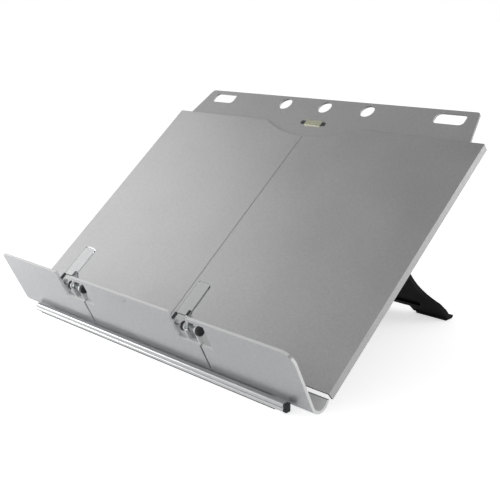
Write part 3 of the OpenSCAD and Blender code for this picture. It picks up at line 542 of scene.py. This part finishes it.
def makeBumper(side):
    low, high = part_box("page_finger_" + side)
    pin = middle("finger_pin_" + side)
    start, end = bumper["up"]
    pin.x = low.x + (bumper["wide"] / 2 - bumper["overhang"]) * mm
    shape = bmesh.new()
    addPlate(shape, onPanel(pin, 0, (start + end) / 2, 0),
             roundedOutline(bumper["wide"], end - start, bumper["radius"]), *bumper["out"])
    makePiece("blade_bumper_" + side, shape, "greyRubber", "finger_" + side, bumper["rounding"])


# Fluted knob, turned from stations of (distance from that end, share of the radius)
knob = {
    "flutes": 14, "depth": 0.09, "flutesAbove": 0.9, "around": 112,
    "innerEnd": [(0, 0.84), (0.4, 1.0)],
    "outerEnd": [(-0.75, 1.0), (-0.3, 0.95), (0, 0.82), (0, 0.56), (-0.45, 0.5)],
}


def makeKnob(side):
    node = "finger_knob_" + side
    low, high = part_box(node)
    centre = middle(node)
    radius = (high.z - low.z) / 2
    stations = [(low.x + along * mm, share) for along, share in knob["innerEnd"]]
    stations += [(high.x + along * mm, share) for along, share in knob["outerEnd"]]
    shape = bmesh.new()
    rings = []
    for x, share in stations:
        ring = []
        for i in range(knob["around"]):
            angle = 2 * math.pi * i / knob["around"]
            wave = (0.5 + 0.5 * math.cos(knob["flutes"] * angle)) ** 2
            dip = knob["depth"] * wave if share > knob["flutesAbove"] else 0
            r = radius * (share - dip)
            ring.append(shape.verts.new((x, centre.y + r * math.cos(angle), centre.z + r * math.sin(angle))))
        rings.append(ring)
    for near, far in zip(rings, rings[1:]):
        for i in range(knob["around"]):
            k = (i + 1) % knob["around"]
            shape.faces.new([near[i], near[k], far[k], far[i]])
    shape.faces.new(rings[0])
    shape.faces.new(rings[-1])
    piece = makePiece("fluted_knob_" + side, shape, "blackAbs", "finger_" + side, 0)
    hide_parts(node)


makeBadge()
for side in ("left", "right"):
    makeBumper(side)
    makeKnob(side)
print("badge, bumpers and knobs made")


studio = {
    "floorRadius": 30, "floorSegments": 96,
    "floorColour": "#f4f4f4", "floorRoughness": 0.9,
    "floorLift": 0.6,       # added to the floor where the camera sees it
    "glossyLift": 0.2,      # and where a glossy or clear piece does
    # walls and ceiling: level at each sine of elevation
    "sky": [(0.0, 1.0), (0.2, 1.0), (0.3, 0.78), (0.5, 0.75), (0.95, 0.15)],
}


def makeFloor():
    mesh = bpy.data.meshes.new("floor")
    shape = bmesh.new()
    bmesh.ops.create_circle(shape, cap_ends=True, segments=studio["floorSegments"],
                            radius=studio["floorRadius"])
    shape.to_mesh(mesh)
    shape.free()
    floor = bpy.data.objects.new("floor", mesh)
    bpy.context.scene.collection.objects.link(floor)
    material, tree, shader = newMaterial("paleFloor", Base_Color=hexColour(studio["floorColour"]),
                                         Roughness=studio["floorRoughness"], Specular_IOR_Level=0.0)
    rays = addNode(tree, "ShaderNodeLightPath")
    seen = addNode(tree, "ShaderNodeMath",
                   {0: rays.outputs["Is Camera Ray"], 1: studio["floorLift"]}, operation="MULTIPLY")
    mirrored = addNode(tree, "ShaderNodeMath",
                       {0: rays.outputs["Is Glossy Ray"], 1: rays.outputs["Is Transmission Ray"]},
                       operation="MAXIMUM")
    lift = addNode(tree, "ShaderNodeMath",
                   {0: mirrored.outputs[0], 1: studio["glossyLift"], 2: seen.outputs[0]},
                   operation="MULTIPLY_ADD")
    glow = addNode(tree, "ShaderNodeEmission", {"Color": (1, 1, 1, 1), "Strength": lift.outputs[0]})
    both = addNode(tree, "ShaderNodeAddShader", {0: shader.outputs[0], 1: glow.outputs[0]})
    tree.links.new(both.outputs[0], tree.nodes["Material Output"].inputs["Surface"])
    mesh.materials.append(material)


# The object is lit by the sky, while the camera and clear pieces see plain white
def makeWorld():
    world = bpy.data.worlds.new("studio")
    bpy.context.scene.world = world
    world.use_nodes = True
    tree = world.node_tree
    tree.nodes.clear()
    spot = addNode(tree, "ShaderNodeTexCoord").outputs["Generated"]
    upward = addNode(tree, "ShaderNodeSeparateXYZ", {0: spot})
    sky = addNode(tree, "ShaderNodeValToRGB", {"Fac": upward.outputs["Z"]},
                  [(sine, (level, level, level, 1)) for sine, level in studio["sky"]])
    rays = addNode(tree, "ShaderNodeLightPath")
    direct = addNode(tree, "ShaderNodeMath",
                     {0: rays.outputs["Is Camera Ray"], 1: rays.outputs["Is Transmission Ray"]},
                     operation="MAXIMUM")
    soft = addNode(tree, "ShaderNodeBackground", {"Color": sky.outputs["Color"], "Strength": 1.0})
    white = addNode(tree, "ShaderNodeBackground", {"Color": (1, 1, 1, 1), "Strength": 1.0})
    mixed = addNode(tree, "ShaderNodeMixShader",
                    {0: direct.outputs[0], 1: soft.outputs[0], 2: white.outputs[0]})
    addNode(tree, "ShaderNodeOutputWorld", {"Surface": mixed.outputs[0]})


# Round softboxes: place, aim and size in metres, power in watts
lamps = {
    "softboxLeft": {"place": (-0.75, 0.03, 0.56), "aim": (-0.1, 0.1, 0.08), "size": 0.5, "power": 0.36},
    "frontLeft": {"place": (-0.40, -0.22, 0.12), "aim": (-0.17, -0.02, 0.03), "size": 0.25, "power": 0.8},
    "rightBack": {"place": (1.3, 1.3, 0.6), "aim": (0, 0.1, 0.08), "size": 1.0, "power": 6},
    "fillRight": {"place": (1.5, -0.9, 1.2), "aim": (0, 0.05, 0.05), "size": 1.0, "power": 2},
}


def makeLamps():
    for name, lamp in lamps.items():
        data = bpy.data.lights.new(name, "AREA")
        data.shape = "DISK"
        data.size = lamp["size"]
        data.energy = lamp["power"]
        holder = bpy.data.objects.new(name, data)
        holder.location = lamp["place"]
        facing = Vector(lamp["aim"]) - Vector(lamp["place"])
        holder.rotation_euler = facing.to_track_quat("-Z", "Y").to_euler()
        bpy.context.scene.collection.objects.link(holder)


makeFloor()
makeWorld()
makeLamps()
print("studio made")
